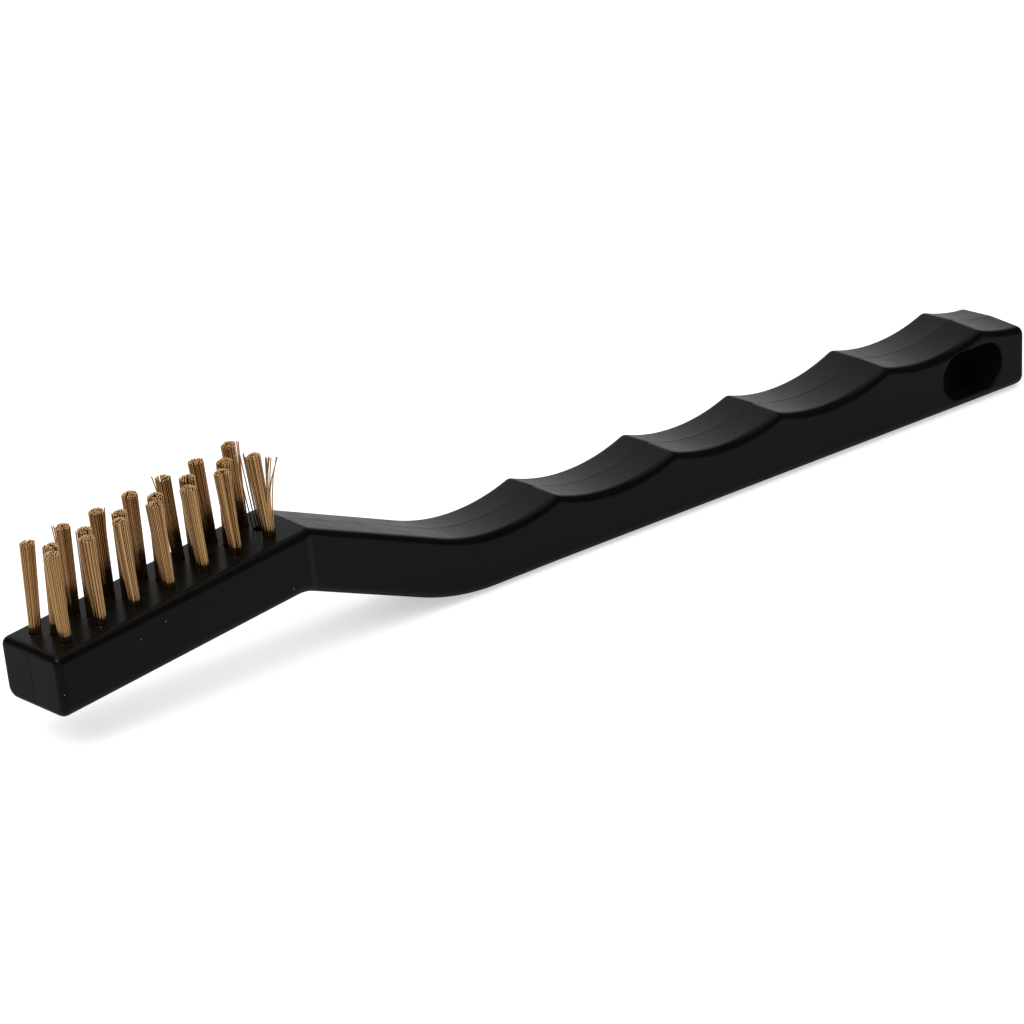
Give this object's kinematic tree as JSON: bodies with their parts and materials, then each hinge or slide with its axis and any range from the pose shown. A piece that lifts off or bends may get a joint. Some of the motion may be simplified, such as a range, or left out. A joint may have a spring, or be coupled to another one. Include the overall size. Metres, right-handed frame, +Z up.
{
  "type": "scratch brush",
  "caption": "Small scratch brush with a bent black plastic handle, finger hollows, a hang slot in the tail and staple-set brass wire tufts on an angled head.",
  "frame": {"origin": "bottom centre of the whole brush's bounding box, in the plane of the grip's flat back", "axes": "+X from the head's tip to the tail, +Y from the side the picture shows to the far side, +Z up, the way the wires point"},
  "size_m": [0.1838, 0.0126, 0.0311],
  "materials": {
    "black_plastic": "moulded, glossy black",
    "brass_wire": "drawn wire, cut ends, golden tan",
    "anchor_steel": "flat anchor wire, plain"
  },
  "bodies": {
    "root": {"handle": "black_plastic", "tuft_near_1": "brass_wire", "tuft_near_2": "brass_wire", "tuft_near_3": "brass_wire", "tuft_near_4": "brass_wire", "tuft_near_5": "brass_wire", "tuft_near_6": "brass_wire", "tuft_near_7": "brass_wire", "tuft_middle_1": "brass_wire", "tuft_middle_2": "brass_wire", "tuft_middle_3": "brass_wire", "tuft_middle_4": "brass_wire", "tuft_middle_5": "brass_wire", "tuft_middle_6": "brass_wire", "tuft_middle_7": "brass_wire", "tuft_far_1": "brass_wire", "tuft_far_2": "brass_wire", "tuft_far_3": "brass_wire", "tuft_far_4": "brass_wire", "tuft_far_5": "brass_wire", "tuft_far_6": "brass_wire", "tuft_far_7": "brass_wire", "anchor_near_1": "anchor_steel", "anchor_near_2": "anchor_steel", "anchor_near_3": "anchor_steel", "anchor_near_4": "anchor_steel", "anchor_near_5": "anchor_steel", "anchor_near_6": "anchor_steel", "anchor_near_7": "anchor_steel", "anchor_middle_1": "anchor_steel", "anchor_middle_2": "anchor_steel", "anchor_middle_3": "anchor_steel", "anchor_middle_4": "anchor_steel", "anchor_middle_5": "anchor_steel", "anchor_middle_6": "anchor_steel", "anchor_middle_7": "anchor_steel", "anchor_far_1": "anchor_steel", "anchor_far_2": "anchor_steel", "anchor_far_3": "anchor_steel", "anchor_far_4": "anchor_steel", "anchor_far_5": "anchor_steel", "anchor_far_6": "anchor_steel", "anchor_far_7": "anchor_steel"}
  },
  "joints": []
}
